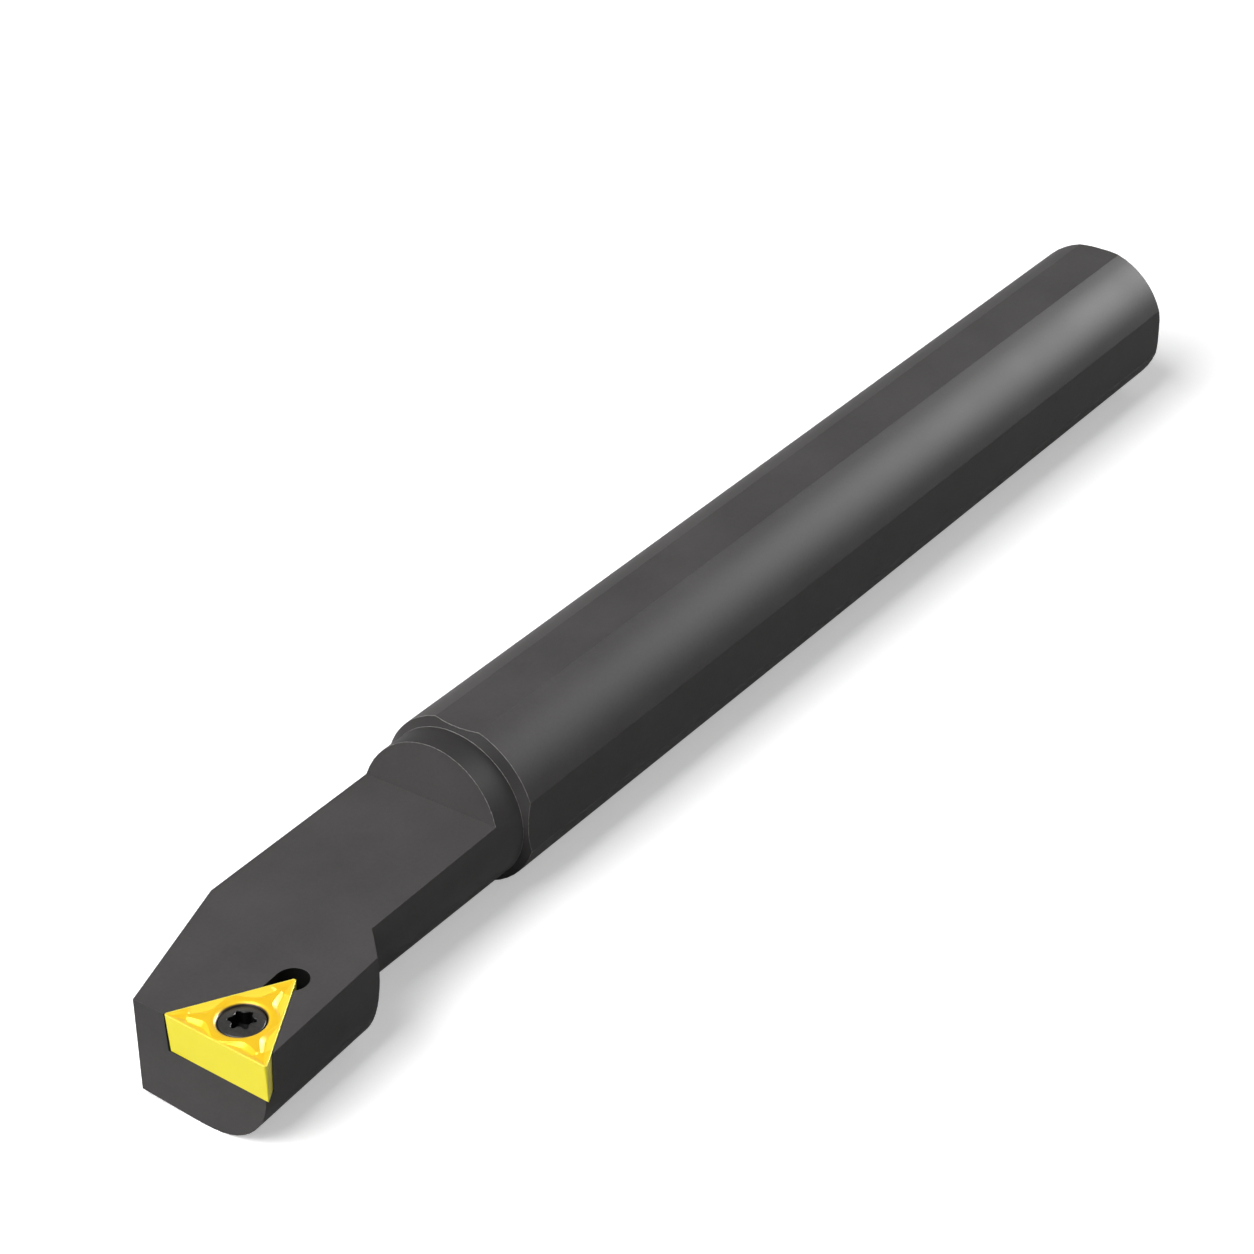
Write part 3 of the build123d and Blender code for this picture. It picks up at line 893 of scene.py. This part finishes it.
def make_bar(bar, seat, insert, steel):
    """The bar's mesh, with attributes that say where its edges are bare and lit by painted highlight,
    and where it has painted shade.
    """
    drop = (bar.wall_foot - seat.face_start) * tan(seat.face_slope)
    foot = Vector((bar.wall_foot, 0, seat.face_height - drop))
    mesh = break_edges(bar, plain_bar(bar, foot), steel)
    mark_wear_and_highlight(bar, mesh)
    mark_painted_shade(bar, seat, insert, mesh)
    flatten_foot(mesh, foot)
    return mesh


# ---- Operators ---------------------------------------------------------------

class TOOLHOLDER_OT_bar(bpy.types.Operator):
    """Finish the one-piece steel bar"""
    bl_idname = "toolholder.bar"
    bl_label = "Bar"

    def execute(self, context):
        settings = context.scene.tool_holder_bar
        steel = blackened_steel(settings.oxide, settings.worn_and_highlight, settings.oily)
        seat = context.scene.tool_holder_seat
        mesh = make_bar(settings, seat, context.scene.tool_holder_insert, steel)
        add_piece("steel_bar", mesh, steel, "bar")
        return {"FINISHED"}


class TOOLHOLDER_OT_insert(bpy.types.Operator):
    """Make the pressed and coated insert"""
    bl_idname = "toolholder.insert"
    bl_label = "Insert"

    def execute(self, context):
        seat = context.scene.tool_holder_seat
        settings = context.scene.tool_holder_insert
        carbide = coated_carbide(settings.pressed, settings.ground, settings.honed_highlight, settings.oily)
        mesh = make_insert(settings, carbide)
        mesh.transform(seat_frame(seat, settings))
        close_mesh(mesh)
        add_piece("carbide_insert", mesh, carbide, "insert")
        return {"FINISHED"}


class TOOLHOLDER_OT_clamp_screw(bpy.types.Operator):
    """Make the clamp screw"""
    bl_idname = "toolholder.clamp_screw"
    bl_label = "Clamp screw"

    def execute(self, context):
        seat = context.scene.tool_holder_seat
        insert = context.scene.tool_holder_insert
        settings = context.scene.tool_holder_screw
        steel = screw_steel(settings.steel, settings.oily)
        mesh = make_screw(settings, insert, steel)
        mesh.transform(seat_frame(seat, insert))
        close_mesh(mesh)
        add_piece("socket_screw", mesh, steel, "clamp_screw")
        return {"FINISHED"}


def add_lamp(aim, name, azimuth, elevation, distance, across, level, gleam_only):
    """A square soft box that faces a point; level is what it adds to a white face turned to it."""
    lamp = bpy.data.lights.new(name, "AREA")
    lamp.shape = "SQUARE"
    lamp.size = across
    lamp.energy = level * (pi * distance)**2
    a, e = radians(azimuth), radians(elevation)
    back = Vector((sin(a) * cos(e), -cos(a) * cos(e), sin(e)))
    holder = bpy.data.objects.new(name, lamp)
    bpy.context.scene.collection.objects.link(holder)
    holder.visible_diffuse = not gleam_only
    holder.location = aim + back * distance
    holder.rotation_mode = "QUATERNION"
    holder.rotation_quaternion = (-back).to_track_quat("-Z", "Y")
    return holder


def studio_board(shade, bounce, glow):
    """Matt painted board: pale and even, with no gloss, which lights the bar softly from below.

    To the eye it grows plain white beyond the reach of the bar's shadow.
    """
    material, tree = new_material("studio_board")
    ray = add_node(tree, "ShaderNodeLightPath").outputs
    mirrored = add_node(tree, "ShaderNodeMath", {"operation": "MAXIMUM"},
                        {0: ray["Is Glossy Ray"], 1: ray["Is Transmission Ray"]})
    seen = add_node(tree, "ShaderNodeMath", {"operation": "MAXIMUM"},
                    {0: ray["Is Camera Ray"], 1: mirrored.outputs[0]})
    colours = add_node(tree, "ShaderNodeMix",
                       {"data_type": "RGBA", 6: linear(bounce), 7: linear(shade)},
                       {0: seen.outputs[0]})
    board = add_node(tree, "ShaderNodeBsdfDiffuse", links={"Color": colours.outputs[2]})
    place = add_node(tree, "ShaderNodeTexCoord").outputs["Object"]
    away = add_node(tree, "ShaderNodeVectorMath", {"operation": "LENGTH"}, {0: place})
    farther = add_node(tree, "ShaderNodeMapRange",
                       {"From Min": SHADOW_REACH, "From Max": WHITE_REACH, "To Min": glow},
                       {"Value": away.outputs["Value"]})
    lift = add_node(tree, "ShaderNodeMath", {"operation": "MULTIPLY"},
                    {0: ray["Is Camera Ray"], 1: farther.outputs["Result"]})
    paper = add_node(tree, "ShaderNodeEmission", links={"Strength": lift.outputs[0]})
    both = add_node(tree, "ShaderNodeAddShader", links={0: board.outputs[0], 1: paper.outputs[0]})
    add_node(tree, "ShaderNodeOutputMaterial", links={"Surface": both.outputs[0]})
    return material


def studio_surround(tree, ambient):
    """Even dim light from all round, white to the eye; mirrors show it white up to a low rim."""
    ray = add_node(tree, "ShaderNodeLightPath").outputs
    mirrored = add_node(tree, "ShaderNodeMath", {"operation": "MAXIMUM"},
                        {0: ray["Is Glossy Ray"], 1: ray["Is Transmission Ray"]})
    place = add_node(tree, "ShaderNodeTexCoord").outputs["Generated"]
    height = add_node(tree, "ShaderNodeSeparateXYZ", links={0: place})
    rim = add_node(tree, "ShaderNodeMapRange",
                   {"From Min": RIM_START, "From Max": RIM_END, "To Min": 1.0, "To Max": ambient},
                   {"Value": height.outputs["Z"]})
    level = add_node(tree, "ShaderNodeMix", {"data_type": "FLOAT", 2: ambient},
                     {0: mirrored.outputs[0], 3: rim.outputs["Result"]})
    shown = add_node(tree, "ShaderNodeMath", {"operation": "MAXIMUM"},
                     {0: level.outputs[0], 1: ray["Is Camera Ray"]})
    back = add_node(tree, "ShaderNodeBackground", {"Color": (1, 1, 1, 1)},
                    {"Strength": shown.outputs[0]})
    add_node(tree, "ShaderNodeOutputWorld", links={"Surface": back.outputs[0]})


class TOOLHOLDER_OT_stage(bpy.types.Operator):
    """Set up the floor, the lamps and the camera"""
    bl_idname = "toolholder.stage"
    bl_label = "Stage"

    def execute(self, context):
        settings = context.scene.tool_holder_stage
        scene = context.scene
        low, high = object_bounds()
        middle = (low + high) / 2

        bpy.ops.mesh.primitive_plane_add(size=FLOOR_SIZE, location=(middle.x, middle.y, low.z))
        floor = context.object
        floor.name = "floor"
        assign(floor, studio_board(settings.floor, settings.bounce, settings.glow))
        floor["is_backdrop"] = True

        world = bpy.data.worlds.new("studio")
        scene.world = world
        world.use_nodes = True
        world.node_tree.nodes.clear()
        studio_surround(world.node_tree, settings.ambient)

        for lamp in LAMPS:
            add_lamp(middle, *lamp)

        camera = bpy.data.cameras.new("camera")
        camera.lens = settings.camera_lens
        camera.sensor_width = 36.0
        camera.clip_start = 0.01
        holder = bpy.data.objects.new("camera", camera)
        scene.collection.objects.link(holder)
        a, e = settings.camera_azimuth, settings.camera_elevation
        back = Vector((sin(a) * cos(e), -cos(a) * cos(e), sin(e)))
        holder.rotation_mode = "QUATERNION"
        roll = Matrix.Rotation(settings.camera_roll, 3, "Z").to_quaternion()
        holder.rotation_quaternion = (-back).to_track_quat("-Z", "Y") @ roll
        holder.location = settings.camera_position
        scene.camera = holder

        scene.view_settings.view_transform = "Standard"
        return {"FINISHED"}


class TOOLHOLDER_PT_panel(bpy.types.Panel):
    """Sizes, colours and the buttons that make each piece"""
    bl_idname = "TOOLHOLDER_PT_panel"
    bl_label = "Tool Holder"
    bl_space_type = "VIEW_3D"
    bl_region_type = "UI"
    bl_category = "Tool Holder"

    def draw(self, context):
        for group, operator in STEPS:
            box = self.layout.box()
            settings = getattr(context.scene, group)
            for name in settings.__annotations__:
                box.prop(settings, name)
            box.operator(operator.bl_idname)


SETTINGS = {
    "tool_holder_seat": SeatSettings,
    "tool_holder_bar": BarSettings,
    "tool_holder_insert": InsertSettings,
    "tool_holder_screw": ScrewSettings,
    "tool_holder_stage": StageSettings,
}
STEPS = (
    ("tool_holder_bar", TOOLHOLDER_OT_bar),
    ("tool_holder_insert", TOOLHOLDER_OT_insert),
    ("tool_holder_screw", TOOLHOLDER_OT_clamp_screw),
    ("tool_holder_stage", TOOLHOLDER_OT_stage),
)
CLASSES = (*SETTINGS.values(), *(operator for _, operator in STEPS), TOOLHOLDER_PT_panel)


def register():
    for item in CLASSES:
        bpy.utils.register_class(item)
    for name, group in SETTINGS.items():
        setattr(bpy.types.Scene, name, PointerProperty(type=group))


def unregister():
    for name in SETTINGS:
        delattr(bpy.types.Scene, name)
    for item in reversed(CLASSES):
        bpy.utils.unregister_class(item)


def main():
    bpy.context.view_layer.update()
    register()
    bpy.ops.toolholder.bar()
    bpy.ops.toolholder.insert()
    bpy.ops.toolholder.clamp_screw()
    bpy.ops.toolholder.stage()


if __name__ == "__main__":
    main()
